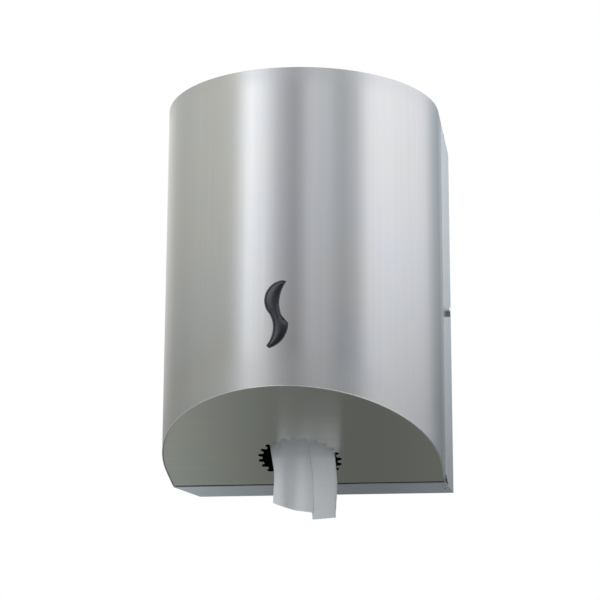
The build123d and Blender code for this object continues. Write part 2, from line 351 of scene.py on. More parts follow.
grain_group, taken = new_group("brushed grain", {"Lines per metre": 900.0, "Cloud scale": 14.0})
place = own_place(grain_group)
# A face counts as level when the upward part of its normal is larger than this.
level_from = 0.7
levelness = calculate(grain_group, "ABSOLUTE", split(grain_group, "Normal")["Z"])
level = calculate(grain_group, "GREATER_THAN", levelness, level_from)
# Along the belt's way the noise is squeezed to this share, which draws it out into lines.
squeeze = 0.015
along = blend_colours(grain_group, level, (1, 1, squeeze, 1), (squeeze, 1, 1, 1))
density = add(
    grain_group, "ShaderNodeVectorMath",
    {0: along, "Scale": taken.outputs["Lines per metre"]}, operation="SCALE",
)
stretched = add(
    grain_group, "ShaderNodeVectorMath", {0: place, 1: density.outputs[0]}, operation="MULTIPLY"
)
fine = noise_field(grain_group, stretched.outputs[0], 3.0, 3.0)
broad = noise_field(grain_group, stretched.outputs[0], 0.35, 4.0)
cloud = noise_field(grain_group, place, taken.outputs["Cloud scale"], 2.0)
give(grain_group, {"Lines": fine, "Streaks": broad, "Clouds": cloud})

# %% [markdown]
# ## Edge wear, shared too
# Cut edges are deburred, so they are slightly round and a bit brighter than the face. A Bevel node rounds
# the shading without touching the mesh, and the angle between the rounded and the true normal is a mask
# of where edges are.

# %% Edge group
edge_group, taken = new_group("worn edges", {"Radius": 0.0005})
soft_edge = add(edge_group, "ShaderNodeBevel", {"Radius": taken.outputs["Radius"]}, samples=6)
true_face = add(edge_group, "ShaderNodeNewGeometry").outputs["True Normal"]
agree = add(
    edge_group, "ShaderNodeVectorMath", {0: soft_edge.outputs[0], 1: true_face}, operation="DOT_PRODUCT"
)
# How well the two normals agree where the mask starts and where it is full.
mask_start, mask_full = 0.985, 0.75
mask = remap(edge_group, agree.outputs["Value"], mask_start, mask_full)
give(edge_group, {"Mask": mask, "Rounded": soft_edge.outputs[0]})

# %% [markdown]
# ## Handling marks
# Hands leave faint greasy patches, which dull the shine a little. Large soft noise cut by a threshold makes
# patches with quiet edges. Steel and plastic both get some.

# %% Handling marks group
marks_group, taken = new_group("handling marks", {"Scale": 22.0, "Threshold": 0.55})
patch = noise_field(marks_group, own_place(marks_group), taken.outputs["Scale"], 5.0, 0.6)
patch_border = 0.18
patch_full = calculate(marks_group, "ADD", taken.outputs["Threshold"], patch_border)
mask = remap(marks_group, patch, taken.outputs["Threshold"], patch_full)
give(marks_group, {"Mask": mask})

# %% [markdown]
# ## Steel finishes
# One function builds every steel: a metal whose colour drifts slightly between a warm and a cool grey,
# whose roughness follows the brushed streaks and the handling marks, and whose edges are rounded and
# brighter. Only numbers change between the cover, the frame and the plain parts inside.
#
# The cover's skin has two things more. Strips along its top and its sloping edge were ground, so they are
# duller, and its sides flare a little near the rear edge, which turns their reflection. The sloping plate
# was brushed from side to side, so it smears what it mirrors from front to back.


# %% Steel function
def place_group(tree, group, **values):
    """A shared group in a material, with that material's values."""
    new = tree.nodes.new("ShaderNodeGroup")
    new.node_tree = group
    for name, value in values.items():
        new.inputs[name.replace("_", " ")].default_value = value
    return new


skin_low, skin_high = (Vector(corner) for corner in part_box("cover_skin"))
skin_bottom, skin_rear = skin_low.z, skin_high.y
slope = math.radians(24)
flare_angle = math.radians(2.5)
flare_start, flare_full = -0.150, -0.125
# Between these heights the ground strips fade in: below the top, and above the sloping edge.
top_strip_low, top_strip_high = 0.152, 0.164
edge_strip_high, edge_strip_low = 0.036, 0.016


def ground_border(tree):
    """A mask for the strips that were ground smooth along the cover's top and along its sloping edge."""
    spot = split(tree, "Object")
    upper = remap(tree, spot["Z"], top_strip_low, top_strip_high)
    behind = calculate(tree, "SUBTRACT", spot["Y"], skin_rear)
    tilted = calculate(tree, "MULTIPLY", behind, math.tan(slope))
    rise = calculate(tree, "SUBTRACT", spot["Z"], skin_bottom)
    above = calculate(tree, "ADD", rise, tilted)
    lower = remap(tree, above, edge_strip_high, edge_strip_low)
    return calculate(tree, "MAXIMUM", upper, lower)


def side_flare(tree):
    """How far the sheet's sides flare outwards near the rear edge: first along an arc, then straight."""
    run = flare_full - flare_start
    behind = calculate(tree, "SUBTRACT", split(tree, "Object")["Y"], flare_start)
    whole = calculate(tree, "MAXIMUM", behind, 0.0)
    bent = calculate(tree, "MINIMUM", whole, run)
    straight = calculate(tree, "SUBTRACT", whole, bent)
    squared = calculate(tree, "MULTIPLY", bent, bent)
    halved = calculate(tree, "MULTIPLY", squared, 0.5 / run)
    total = calculate(tree, "ADD", halved, straight)
    return calculate(tree, "MULTIPLY", total, math.tan(flare_angle))


def steel(
    name, warm, cool, roughness, spread, relief,
    edge_radius=0.0005, marks=0.56, border=0.0, stretch=0.0, flare=False,
):
    """Brushed metal with grain, clouds, marks and bright worn edges."""
    made, tree = new_material(name)
    grain = place_group(tree, grain_group)
    edges = place_group(tree, edge_group, Radius=edge_radius)
    handled = place_group(tree, marks_group, Threshold=marks)
    drift = remap(tree, grain.outputs["Clouds"], 0.35, 0.65)
    body = blend_colours(tree, drift, warm, cool)
    streaks = remap(tree, grain.outputs["Streaks"], 0.3, 0.7, 0, 0.10)
    streaked = blend_colours(tree, streaks, body, grey(0.50))
    bright = [min(1.0, channel * 1.12) for channel in warm[:3]] + [1]
    colour = blend_colours(tree, edges.outputs["Mask"], streaked, bright)
    rough = remap(tree, grain.outputs["Streaks"], 0.25, 0.75, roughness - spread, roughness + spread)
    dulled = remap(tree, handled.outputs["Mask"], 0, 1, 0, spread)
    rough = calculate(tree, "ADD", dulled, rough)
    if border:
        strip = remap(tree, ground_border(tree), 0, 1, 0, border)
        rough = calculate(tree, "ADD", strip, rough)
    rounded = edges.outputs["Rounded"]
    if flare:
        inputs = {"Height": side_flare(tree), "Normal": rounded, "Strength": 1.0, "Distance": 1.0}
        rounded = add(tree, "ShaderNodeBump", inputs).outputs[0]
    bump = add(
        tree, "ShaderNodeBump",
        {"Height": grain.outputs["Lines"], "Normal": rounded, "Strength": relief, "Distance": 0.00002},
    )
    shader = principled(
        made,
        {"Base Color": colour, "Roughness": rough, "Normal": bump.outputs[0], "Metallic": 1.0},
    )
    if stretch:
        across = add(tree, "ShaderNodeCombineXYZ", {"X": 0.0, "Y": 1.0, "Z": 0.0})
        way = add(
            tree, "ShaderNodeVectorTransform", {"Vector": across.outputs[0]},
            vector_type="VECTOR", convert_from="OBJECT", convert_to="WORLD",
        )
        tree.links.new(way.outputs[0], shader.inputs["Tangent"])
        shader.inputs["Anisotropic"].default_value = stretch
    return made


cover_steel = steel(
    "satin steel cover", (0.63, 0.635, 0.605, 1), (0.615, 0.635, 0.64, 1), 0.19, 0.012, 0.03,
    marks=0.60, border=0.08, flare=True,
)
floor_steel = steel(
    "satin steel floor", (0.665, 0.66, 0.63, 1), (0.65, 0.65, 0.635, 1), 0.25, 0.01, 0.02, stretch=0.9
)
frame_steel = steel("satin steel frame", (0.60, 0.62, 0.63, 1), (0.585, 0.61, 0.63, 1), 0.22, 0.02, 0.04)
inner_steel = steel(
    "plain steel", (0.56, 0.57, 0.58, 1), (0.52, 0.54, 0.56, 1), 0.36, 0.05, 0.2,
    edge_radius=0.0003, marks=0.5,
)
polished_steel = steel(
    "ground weld rim", (0.70, 0.70, 0.67, 1), (0.68, 0.69, 0.67, 1), 0.24, 0.02, 0.05, edge_radius=0.0002
)
burnt_steel = steel(
    "spot weld steel", (0.40, 0.41, 0.41, 1), (0.34, 0.36, 0.37, 1), 0.30, 0.05, 0.1, edge_radius=0.0002
)
chrome = steel(
    "lock chrome", (0.66, 0.67, 0.68, 1), (0.63, 0.65, 0.67, 1), 0.08, 0.02, 0.02, edge_radius=0.0003
)

# %% [markdown]
# ## Plastic and rubber
# The sight window is smoked plastic with a hard gloss, the funnel is matt and nearly black, and the gasket
# is soft rubber. All three are moulded, so they share one function: a dark colour, a fine texture
# and a few marks.


# %% Plastic function
def plastic(name, colour, roughness, texture_scale, relief, coat=0.0, reflectance=0.5, edge_radius=0.0003):
    """Moulded plastic or rubber."""
    made, tree = new_material(name)
    edges = place_group(tree, edge_group, Radius=edge_radius)
    handled = place_group(tree, marks_group, Scale=60.0)
    texture = noise_field(tree, own_place(tree), texture_scale, 3.0)
    lighter = [channel * 1.25 for channel in colour[:3]] + [1]
    tone = blend_colours(tree, remap(tree, texture, 0.35, 0.65), colour, lighter)
    rough = remap(tree, handled.outputs["Mask"], 0, 1, roughness, min(1.0, roughness + 0.10))
    bump = add(
        tree, "ShaderNodeBump",
        {"Height": texture, "Normal": edges.outputs["Rounded"],
         "Strength": relief, "Distance": 0.0001},
    )
    principled(
        made,
        {"Base Color": tone, "Roughness": rough, "Normal": bump.outputs[0], "Coat Weight": coat,
         "Coat Roughness": 0.04, "Specular IOR Level": reflectance},
    )
    return made


smoked = plastic("smoked lens", (0.0012, 0.0026, 0.006, 1), 0.08, 900, 0.01, coat=0.3, reflectance=0.8)
bezel = plastic("window rim plastic", (0.040, 0.043, 0.047, 1), 0.22, 900, 0.03, coat=0.2, reflectance=0.6)
rubber = plastic("gasket rubber", (0.020, 0.020, 0.020, 1), 0.75, 2500, 0.4)
black = plastic("black plastic", (0.004, 0.004, 0.0045, 1), 0.6, 1800, 0.3, reflectance=0.15)

# %% [markdown]
# ## Paper
# The paper is soft two-ply tissue. Close up it has short fibres, and a fine crinkle across it from the
# drying drum. A shared group gives both, for the hanging sheet and for the roll.

# %% Paper group
fibre_group, taken = new_group("paper fibre", {"Fibre scale": 900.0, "Crinkle": (60, 60, 700)})
place = own_place(fibre_group)
fibres = noise_field(fibre_group, place, taken.outputs["Fibre scale"], 4.0, 1.5)
squeezed = add(
    fibre_group, "ShaderNodeVectorMath", {0: place, 1: taken.outputs["Crinkle"]}, operation="MULTIPLY"
)
crinkles = noise_field(fibre_group, squeezed.outputs[0], 1.0, 3.0)
give(fibre_group, {"Fibres": fibres, "Crinkles": crinkles})


# %% Paper materials
def paper(name, pale, shade, crinkle, relief):
    """Soft tissue paper."""
    made, tree = new_material(name)
    fibre = place_group(tree, fibre_group, Crinkle=crinkle)
    tone = blend_colours(tree, remap(tree, fibre.outputs["Fibres"], 0.35, 0.65), pale, shade)
    both = calculate(tree, "ADD", fibre.outputs["Crinkles"], fibre.outputs["Fibres"])
    bump = add(tree, "ShaderNodeBump", {"Height": both, "Strength": relief, "Distance": 0.0002})
    rough = remap(tree, fibre.outputs["Fibres"], 0.3, 0.7, 0.85, 0.97)
    principled(
        made,
        {"Base Color": tone, "Roughness": rough, "Normal": bump.outputs[0],
         "Specular IOR Level": 0.25, "Sheen Weight": 0.15, "Sheen Roughness": 0.6},
    )
    return made


tissue = paper("tissue paper", (0.65, 0.67, 0.68, 1), (0.59, 0.615, 0.63, 1), (60, 60, 700), 0.35)
roll_paper = paper("roll paper", (0.74, 0.77, 0.79, 1), (0.66, 0.70, 0.73, 1), (500, 500, 90), 0.5)

# %% [markdown]
# ## Finish every solid of the model
# Each solid keeps its shape and gets its finish by name.

# %% Give the finishes
finishes = {
    cover_steel: ("cover_skin",),
    floor_steel: ("cover_floor_plate", "cover_top_plate", "roll_shelf"),
    frame_steel: ("back_frame",),
    inner_steel: (
        "lower_frame_leaf", "upper_frame_leaf", "lower_cover_leaf", "upper_cover_leaf",
        "lower_hinge_pin", "upper_hinge_pin", "lock_nut", "lock_cam", "lock_cam_screw", "lock_keeper",
    ),
    chrome: ("lock_housing", "lock_plug"),
    smoked: ("window_lens",),
    bezel: ("window_bezel",),
    rubber: ("window_gasket",),
    black: ("paper_funnel",),
    roll_paper: ("paper_roll",),
    tissue: ("paper_tail",),
}
for finish, names in finishes.items():
    for name in names:
        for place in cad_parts[name].material_slots:
            place.material = finish
print("finished:", sum(len(names) for names in finishes.values()), "solids")


# %% [markdown]
# ## Making a piece
# A new piece is a mesh with a finish. It rides on a body, so that it moves with it.
# Most meshes below are rows of points joined by four-sided faces.


# %% Piece helpers
mm = 0.001
touching = 0.02 * mm


def between(value, low, high):
    """How far a value has come on its way from one to another, from 0 to 1."""
    return min(1.0, max(0.0, (value - low) / (high - low)))


def smoothstep(value, low=0.0, high=1.0):
    """The same with soft ends."""
    part = between(value, low, high)
    return part * part * (3 - 2 * part)


def new_piece(name, body, finish, slot, points, faces, smooth=True):
    """A mesh piece of the dispenser that rides on one body."""
    data = bpy.data.meshes.new(name)
    data.from_pydata([tuple(point) for point in points], [], faces)
    data.materials.append(finish)
    for face in data.polygons:
        face.use_smooth = smooth
    made = new_object(name, data)
    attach(made, body)
    print("piece:", name, len(data.vertices), "vertices")
    return made


def join_rows(rows, count, closed_rows=True, ring=False):
    """Faces between neighbouring rows of points. A ring joins the last row to the first."""
    faces = []
    for row in range(rows if ring else rows - 1):
        here, there = row * count, (row + 1) % rows * count
        for number in range(count if closed_rows else count - 1):
            following = (number + 1) % count
            faces.append((here + number, here + following, there + following, there + number))
    return faces


def face_outwards(piece, merge_within=0.0):
    """Turns all faces outwards, after joining points that lie on each other."""
    mesh = bmesh.new()
    mesh.from_mesh(piece.data)
    if merge_within:
        bmesh.ops.remove_doubles(mesh, verts=mesh.verts, dist=merge_within)
        bmesh.ops.dissolve_degenerate(mesh, edges=mesh.edges, dist=merge_within / 2)
    bmesh.ops.recalc_face_normals(mesh, faces=mesh.faces)
    mesh.to_mesh(piece.data)
    mesh.free()


# %% [markdown]
# ## The hanging paper
# The paper is pulled out of the roll's middle. It is 205 mm wide, and it hangs gathered to about 59 mm:
# a front layer that ends in a free edge, a pleat behind it, and a flap on the right that hangs lower.
# Cloth simulation could find such folds, but they would be others than these. So each level of the sheet is
# drawn as a folded line of the sheet's own width, and the lines are joined.

# %% Folded lines of the sheet
outlet_middle = Vector((0.0, -0.141))
tail_bottom, tail_top = (corner[2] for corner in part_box("paper_tail"))
# Each line runs from the front layer's free edge round the left fold, through the pleat,
# round the right fold and back to the flap's own edge. In millimetres from the outlet's middle.
fold_mouth = (
    (8, -1.95), (5, -2.6), (2, -2.6), (-3, -1.7), (-8.5, -2.9), (-14.5, -5), (-19.5, -4.2),
    (-24.9, -2), (-27.2, -0.3), (-26.2, 0.8), (-16, 1), (-3, 1.2), (14, 1), (16.4, 1.8),
    (14, 2.6), (-3, 2.6), (-14, 2.6), (-21.5, 3), (-22.6, 4), (-21, 4.9), (-8, 4.8),
    (9, 4.3), (23, 3), (29.4, 1.4), (30.6, 0.2), (29.4, -0.9), (22, -1.6), (13, -1.7),
    (3.7, -1.5),
)
fold_middle = (
    (11.8, -2.75), (8.4, -3.4), (4.6, -3.5), (-2.2, -2.2), (-8.2, -3.5), (-14, -5.4), (-17.8, -4.8),
    (-21.4, -2.4), (-23, -0.4), (-22.2, 0.8), (-14, 0.8), (-2, 1), (17.9, 0.8), (20.3, 1.6),
    (17.9, 2.4), (-2, 2.3), (-13, 2.3), (-19.5, 2.8), (-20.8, 3.8), (-19.5, 4.7), (-7, 4.6),
    (10, 4.1), (25, 2.8), (31.6, 1.4), (32.8, 0.2), (31.4, -0.8), (24, -2), (16, -2.5),
    (8.5, -2.45),
)
fold_low = (
    (12.3, -2.85), (8.8, -3.45), (4.2, -3.5), (-4, -2.3), (-9, -3.6), (-14, -5.4), (-18.2, -4.6),
    (-22.3, -2.2), (-23.7, -0.4), (-22.9, 0.7), (-14, 0.7), (-2, 0.9), (19.2, 0.8), (21.6, 1.5),
    (19.2, 2.3), (-2, 2.2), (-13, 2.2), (-20, 2.6), (-21.4, 3.6), (-20, 4.5), (-7, 4.4),
    (10, 3.9), (24.4, 2.6), (30.4, 1.2), (31.6, 0.1), (30.4, -0.8), (23.5, -1.9), (16.5, -2.5),
    (11.4, -2.6),
)
fold_levels = ((-0.141, fold_mouth), (-0.171, fold_middle), (-0.198, fold_low))
samples = 150
steps_between = 12


def smooth_line(points, count):
    """Evenly spaced points on a smooth line through the given ones."""
    ends = [points[0]] + list(points) + [points[-1]]
    dense = []
    for a, b, c, d in zip(ends, ends[1:], ends[2:], ends[3:]):
        for step in range(steps_between):
            t = step / steps_between
            x, y = (
                0.5 * (2 * q + (r - p) * t + (2 * p - 5 * q + 4 * r - s) * t**2
                       + (3 * q - p - 3 * r + s) * t**3)
                for p, q, r, s in zip(a, b, c, d)
            )
            dense.append(Vector((x, y)))
    dense.append(Vector(points[-1]))
    run = [0.0]
    for first, second in zip(dense, dense[1:]):
        run.append(run[-1] + (second - first).length)
    line = []
    spot = 0
    for number in range(count):
        goal = run[-1] * number / (count - 1)
        while spot < len(run) - 2 and run[spot + 1] < goal:
            spot += 1
        part = (goal - run[spot]) / max(1e-9, run[spot + 1] - run[spot])
        line.append(dense[spot].lerp(dense[spot + 1], min(1.0, part)))
    return line, run[-1]


def folded_line(height):
    """The folded line at a height, between the lines drawn for the levels above and below it."""
    for (above, upper), (below, lower) in zip(fold_levels, fold_levels[1:]):
        if height >= below or lower is fold_low:
            part = between(height, above, below)
            part = (part + smoothstep(part)) / 2
            mixed = [Vector(u).lerp(Vector(v), part) for u, v in zip(upper, lower)]
            return smooth_line([tuple(point) for point in mixed], samples)


print("folded lengths in mm:", [round(folded_line(height)[1], 1) for height, line in fold_levels])

# %% [markdown]
# Higher up, inside the funnel, the sheet opens into a loose turn against the wall of the roll's core, where
# it comes off the roll. The lower end is torn along its perforation: the front layer slopes down to the
# right, and the flap hangs 5 mm lower. The sheet gets its thickness last.

# %% Sheet mesh
# The loose turn in the core, in millimetres: it starts at an angle and a reach, and winds inwards.
core_turns = 1.1
core_start = math.radians(-62)
core_reach = 29.5
core_taper = 3.0
core_line = []
for number in range(samples):
    part = number / (samples - 1)
    angle = core_start - 2 * math.pi * core_turns * part
    reach = core_reach - core_taper * part
    core_line.append(Vector((reach * math.cos(angle), reach * math.sin(angle))))
gather_start = -0.128
core_height = -0.100
rows = 72
left_end = -0.1898
front_end = -0.1986
pleat_end = -0.1860
flap_end = -0.2022
# How far the paper's small waves move it sideways, and forwards and back, in millimetres.
wave_aside = 0.15
wave_deep = 0.30
# Long and short waves: how strong, how close across and down, and which part of the noise.
waves = ((1.0, 9, 38, 3.7), (0.4, 22, 70, 8.1))
two_plies = 0.00025
sharp_from = math.radians(50)


def torn_end(part):
    """How far down the sheet reaches at a share of its width."""
    stops = (
        (0.0, front_end), (0.08, -0.1962), (0.13, -0.1932), (0.178, left_end), (0.24, pleat_end),
        (0.66, pleat_end), (0.86, flap_end), (1.0, tail_bottom + 0.0002),
    )
    for (a, low), (b, high) in zip(stops, stops[1:]):
        if part <= b:
            return low + (high - low) * between(part, a, b)


points = []
for row in range(rows):
    down = row / (rows - 1)
    line = folded_line(tail_top + (front_end - tail_top) * down)[0]
    for number in range(samples):
        part = number / (samples - 1)
        z = tail_top + (torn_end(part) - tail_top) * down
        opened = smoothstep(z, gather_start, core_height)
        place = line[number].lerp(core_line[number], opened)
        ripple = sum(
            strength * noise.noise(Vector((part * across, z * downwards, seed)))
            for strength, across, downwards, seed in waves
        )
        x = place.x + wave_aside * ripple
        y = place.y + wave_deep * ripple
        points.append((outlet_middle.x + x * mm, outlet_middle.y + y * mm, z))
faces = join_rows(rows, samples, closed_rows=False)
tail = new_piece("paper_tail_sheet", "cover", tissue, "paper", points, faces)
ply = tail.modifiers.new("two plies", "SOLIDIFY")
ply.thickness = two_plies
ply.offset = 0
# The thickness is made real, and its narrow sides get sharp edges, so that they don't darken the faces.
bpy.context.view_layer.update()
thick = bpy.data.meshes.new_from_object(tail.evaluated_get(bpy.context.evaluated_depsgraph_get()))
tail.modifiers.clear()
tail.data = thick
thick.set_sharp_from_angle(angle=sharp_from)
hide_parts("paper_tail")

# %% [markdown]
# ## The roll
# A centrefeed roll is one strip wound hundreds of times, with no card core. From its end it shows the
# layers as fine rings that never lie quite level. Modelling every layer would be wasteful, so one spiral of
# 26 turns stands for them: a raised strand with a groove beside it.

# %% Wound roll
roll_low, roll_high = (Vector(corner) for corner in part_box("paper_roll"))
roll_middle = (roll_low + roll_high) / 2
roll_reach = (roll_high.x - roll_low.x) / 2
roll_core = 0.032
turns = 26
steps = 96
groove = 0.0004
# Both ends lie this much inside the solid's, and wander up and down by at most the second length.
end_sink = 0.0004
unevenness = 0.0007
# How fast they wander from turn to turn, from end to end, and round the roll.
wander = Vector((1.7, 5.0, 0.4))
pitch = (roll_reach - roll_core) / (turns + 0.5)


def roll_point(number, shift, end, sink):
    """A point on the spiral: which step, how far between strands, which end, and how deep."""
    angle = 2 * math.pi * number / steps
    reach = roll_core + pitch * (number / steps + shift)
    x = roll_middle.x + reach * math.cos(angle)
    y = roll_middle.y + reach * math.sin(angle)
    uneven = unevenness * noise.noise(wander * Vector((number / steps, end, math.sin(angle))))
    inward = sink + end_sink + uneven
    z = roll_high.z - inward if end > 0 else roll_low.z + max(0.0, inward)
    return (x, y, z)


points = []
last = (turns - 1) * steps
final = turns * steps
for number in range(final + 1):
    for end in (1, -1):
        points.append(roll_point(number, 0.0, end, 0.0))
        points.append(roll_point(number, 0.5, end, groove))


def spiral(number, strand, end):
    """The index of a spiral point: strand 0 is the ridge and 1 the groove, end 0 is the top."""
    return number * 4 + end * 2 + strand


faces = []
for number in range(final):
    outside = number + steps
    bands = [((number, 0), (number, 1), (number + 1, 1), (number + 1, 0))]
    if outside < final:
        bands.append(((number, 1), (outside, 0), (outside + 1, 0), (number + 1, 1)))
    for band in bands:
        faces.append([spiral(step, strand, 0) for step, strand in band])
        faces.append([spiral(step, strand, 1) for step, strand in reversed(band)])
# The upright faces: the core's wall, the outside, and the steps where the strip begins and ends.
uprights = [((number, 0), (number + 1, 0)) for number in range(steps)]
uprights += [((last + number + 1, 1), (last + number, 1)) for number in range(steps)]
uprights += [((0, 1), (0, 0)), ((steps, 0), (0, 1)), ((final, 0), (last, 1)), ((final, 1), (final, 0))]
for first, second in uprights:
    faces.append([spiral(*first, 0), spiral(*second, 0), spiral(*second, 1), spiral(*first, 1)])
roll = new_piece("paper_roll_wound", "cover", roll_paper, "paper", points, faces)
face_outwards(roll)
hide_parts("paper_roll")

# %% [markdown]
# ## The sight window's outline
# The window is a standing wave cut through the round front. Its edge is four arcs joined by short lines.
# The window's pieces are drawn on a flat sheet first and then laid on the round front.

# %% Window outline
front_radius = skin_high.x
front_middle = skin_low.y + front_radius
window_size = Vector((0.0210, 0.0566))
window_middle = -0.0439
arc_points = 30
# Shares of the window's width and height, from its middle.
wave_arc_shares = (
    ((0.21, 0.5), (-0.53, 0.17), (-0.33, 0.01)),
    ((-0.33, 0.01), (-0.18, -0.16), (-0.44, -0.46)),
    ((-0.32, -0.5), (0.33, -0.3), (0.42, -0.14)),
    ((0.14, -0.01), (0.06, 0.14), (0.34, 0.48)),
)


def arc(first, middle, last, count):
    """Points on the arc through three points, without its last one."""
    ax, ay = middle - first
    bx, by = last - first
    scale = 2 * (ax * by - ay * bx)
    a, b = ax * ax + ay * ay, bx * bx + by * by
    centre = first + Vector((by * a - ay * b, ax * b - bx * a)) / scale
    start, passing, end = (math.atan2(*reversed(point - centre)) for point in (first, middle, last))
    turn_to = (end - start) % math.tau
    if (passing - start) % math.tau > turn_to:
        turn_to -= math.tau
    radius = (first - centre).length
    angles = [start + turn_to * number / count for number in range(count)]
    return [centre + radius * Vector((math.cos(angle), math.sin(angle))) for angle in angles]


wave = []
for shares in wave_arc_shares:
    first, middle, last = (Vector(share) * window_size for share in shares)
    wave += arc(first, middle, last, arc_points) + [last]
followers = wave[1:] + wave[:1]
wave = [point for point, following in zip(wave, followers) if (point - following).length > 1e-6]
print("outline points:", len(wave))

# %% [markdown]
# ## Drawing an outline in
# A rim and a lens both follow the wave at some distance inside it. Each point moves straight in from the
# edge, and stops halfway to the opposite edge, so that nothing crosses in the narrow tips. Where it stops
# is found by halving a range again and again.

# %% Drawn-in outlines


def gap_to_edge(point):
    """How far a point is from the wave's edge."""
    best = 1.0
    for first, second in zip(wave, wave[1:] + wave[:1]):
        run = second - first
        part = between((point - first).dot(run), 0.0, run.length_squared)
        best = min(best, (first + run * part - point).length)
    return best


least_room, most_room = 0.0002, 0.0072
slack = 0.00003
halvings = 12
inward = []
room_inside = []
for before, here, after in zip(wave[-1:] + wave[:-1], wave, wave[1:] + wave[:1]):
    tangent = (after - before).normalized()
    way = Vector((-tangent.y, tangent.x))
    reached, blocked = 0.0, most_room
    for halving in range(halvings):
        reach = (reached + blocked) / 2
        if gap_to_edge(here + way * reach) > reach - slack:
            reached = reach
        else:
            blocked = reach
    inward.append(way)
    room_inside.append(max(least_room, reached))


def drawn_in(distance, deepest=None):
    """The wave drawn in by a distance. A section that goes deeper than there is room for shrinks to fit."""
    deepest = deepest or distance
    moved = [distance * min(1.0, room / deepest) for room in room_inside]
    return [point + way * step for point, way, step in zip(wave, inward, moved)]


def on_front(point, proud):
    """A flat point laid on the round front, standing proud of it by a distance."""
    reach = front_radius + proud
    return (point.x, front_middle - math.sqrt(reach**2 - point.x**2), window_middle + point.y)


print("widest room inside, mm:", round(max(room_inside) * 1000, 1))

# %% [markdown]
# ## Rim and lens of the window
# The rim is a soft plastic bead between the steel and the lens. The lens is smoked plastic, bulged like a
# watch glass: it rises steeply at its edge and is nearly flat in the middle, which is what makes
# the bright line along its edge and the dark middle. Its height depends only on the distance to the
# wave's edge, so one net of triangles over the whole window gives it. The solids under them are flat,
# so the rim replaces its solid, and the bulge sits on the lens.

# %% Rim and lens


def closed_bead(profile):
    """Points and faces of a bead along the wave with a closed section of (distance inside, proud) pairs."""
    deepest = max(distance for distance, proud in profile)
    points = []
    for distance, proud in profile:
        points += [on_front(point, proud) for point in drawn_in(distance, deepest)]
    return points, join_rows(len(profile), len(wave), ring=True)


rim_start, rim_width, rim_rise, rim_depth = 0.0002, 0.0009, 0.0004, 0.0017
rim_profile = [(rim_start, -rim_depth)]
rim_steps, rim_sink = 8, 0.0001
for number in range(rim_steps + 1):
    part = number / rim_steps
    arch = math.sqrt(max(0.0, 1 - (2 * part - 1) ** 2))
    rim_profile.append((rim_start + rim_width * part, rim_rise * arch - rim_sink))
rim_profile.append((rim_start + rim_width, -rim_depth))
rim = new_piece("window_rim_bead", "cover", bezel, "bezel_plastic", *closed_bead(rim_profile))
face_outwards(rim, touching)
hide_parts("window_bezel")

lens_start, lens_bevel, lens_dome = 0.0012, 0.0016, 0.0042
lens_rise, lens_crown, lens_under = 0.0008, 0.0003, -0.0002


def lens_height(distance):
    """How proud the lens stands at a distance from the wave's edge."""
    dome_start = lens_start + lens_bevel
    steep = between(distance, lens_start, dome_start)
    flat = between(distance, dome_start, dome_start + lens_dome)
    return lens_rise * math.sqrt(1 - (1 - steep) ** 2) + lens_crown * (1 - (1 - flat) ** 2)


lens_edge = drawn_in(lens_start)
# The net's points lie on rings inside the edge, close together on the bevel and wider apart on the dome.
# None lies closer than this to the middle, where rings from both sides would meet.
middle_gap = 0.0002
bevel_steps = 6
ring_distances = [lens_start + lens_bevel * step / bevel_steps for step in range(1, bevel_steps + 1)]
ring_distances += [0.0034, 0.0040, 0.0050, 0.0060]
spots = list(lens_edge)
for distance in ring_distances:
    ring = drawn_in(distance)
    spots += [point for point, room in zip(ring, room_inside) if room > distance + middle_gap]
inside_only, same_spot = 1, 1e-6
net = geometry.delaunay_2d_cdt(spots, [], [tuple(range(len(lens_edge)))], inside_only, same_spot)
net_points, net_faces = net[0], [tuple(face) for face in net[2]]
points = [on_front(point, lens_height(gap_to_edge(point))) for point in net_points]
points += [on_front(point, lens_under) for point in net_points]
under = len(net_points)
faces = net_faces + [tuple(corner + under for corner in face[::-1]) for face in net_faces]
# An edge that only one triangle uses is on the outline, and gets an upright face.
used = {(a, b) for face in net_faces for a, b in zip(face, face[1:] + face[:1])}
faces += [(b, a, a + under, b + under) for a, b in sorted(used) if (b, a) not in used]
bulge = new_piece("window_lens_bulge", "cover", smoked, "smoked_lens", points, faces)
face_outwards(bulge, touching)

# %% [markdown]
# ## The bright rim along the sloping edge
# The skin and the floor plate are welded along the sloping edge, and the weld is ground to a thin round rim
# that catches the light all the way round. It is a fine tube bent along the D-shaped edge.

# %% Weld rim
rim_radius = 0.0006
rim_inset = 0.00045
edge_reach = front_radius - rim_inset
# It ends 4 mm before the rear edge, where the cover turns past the frame.
rim_end = skin_rear - 0.004
straight_rows = 4
arc_rows = 72
side_run = front_middle - rim_end
plan = [Vector((-edge_reach, rim_end + side_run * row / straight_rows)) for row in range(straight_rows)]
for row in range(arc_rows + 1):
    angle = math.pi * row / arc_rows
    plan.append(Vector((-edge_reach * math.cos(angle), front_middle - edge_reach * math.sin(angle))))
plan += [Vector((-spot.x, spot.y)) for spot in plan[straight_rows - 1::-1]]
path = [Vector((spot.x, spot.y, skin_bottom + (skin_rear - spot.y) * math.tan(slope))) for spot in plan]
sides = 8
points = []
for before, here, after in zip(path[:1] + path[:-1], path, path[1:] + path[-1:]):
    along = (after - before).normalized()
    out = along.cross(Vector((0, 0, 1))).normalized()
    up = out.cross(along)
    for number in range(sides):
        angle = math.tau * number / sides
        points.append(here + rim_radius * (out * math.cos(angle) + up * math.sin(angle)))
faces = join_rows(len(path), sides)
faces.append(tuple(range(sides)))
faces.append(tuple(range(len(points) - sides, len(points)))[::-1])
weld_rim = new_piece("cover_weld_rim", "cover", polished_steel, "satin_steel", points, faces)
face_outwards(weld_rim, touching)

